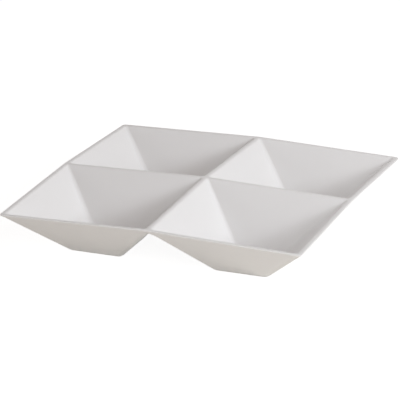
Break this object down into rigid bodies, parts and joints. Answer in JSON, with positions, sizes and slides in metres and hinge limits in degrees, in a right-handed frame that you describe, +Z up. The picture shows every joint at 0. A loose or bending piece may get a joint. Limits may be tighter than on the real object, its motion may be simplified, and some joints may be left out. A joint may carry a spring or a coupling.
{
  "type": "divided serving bowl",
  "caption": "Square divided serving dish of sloping pyramid wells that meet in a cross of round-topped ridges, with a thin tented rim and low square foot rings.",
  "frame": {"origin": "on the table, under the centre of the dish", "axes": "+X to the right, +Y to the back, +Z up, with the dish's sides along X and Y"},
  "size_m": [0.25, 0.25, 0.045],
  "materials": {
    "glaze": "satin",
    "bare_clay": "matte"
  },
  "bodies": {
    "root": {"well_front_left": "glaze", "well_front_right": "glaze", "well_back_right": "glaze", "well_back_left": "glaze", "rim_front_left": "glaze", "rim_front_right": "glaze", "rim_back_right": "glaze", "rim_back_left": "glaze", "foot_front_left": "bare_clay", "foot_front_right": "bare_clay", "foot_back_right": "bare_clay", "foot_back_left": "bare_clay", "ridge_front": "glaze", "ridge_right": "glaze", "ridge_back": "glaze", "ridge_left": "glaze"}
  },
  "joints": []
}
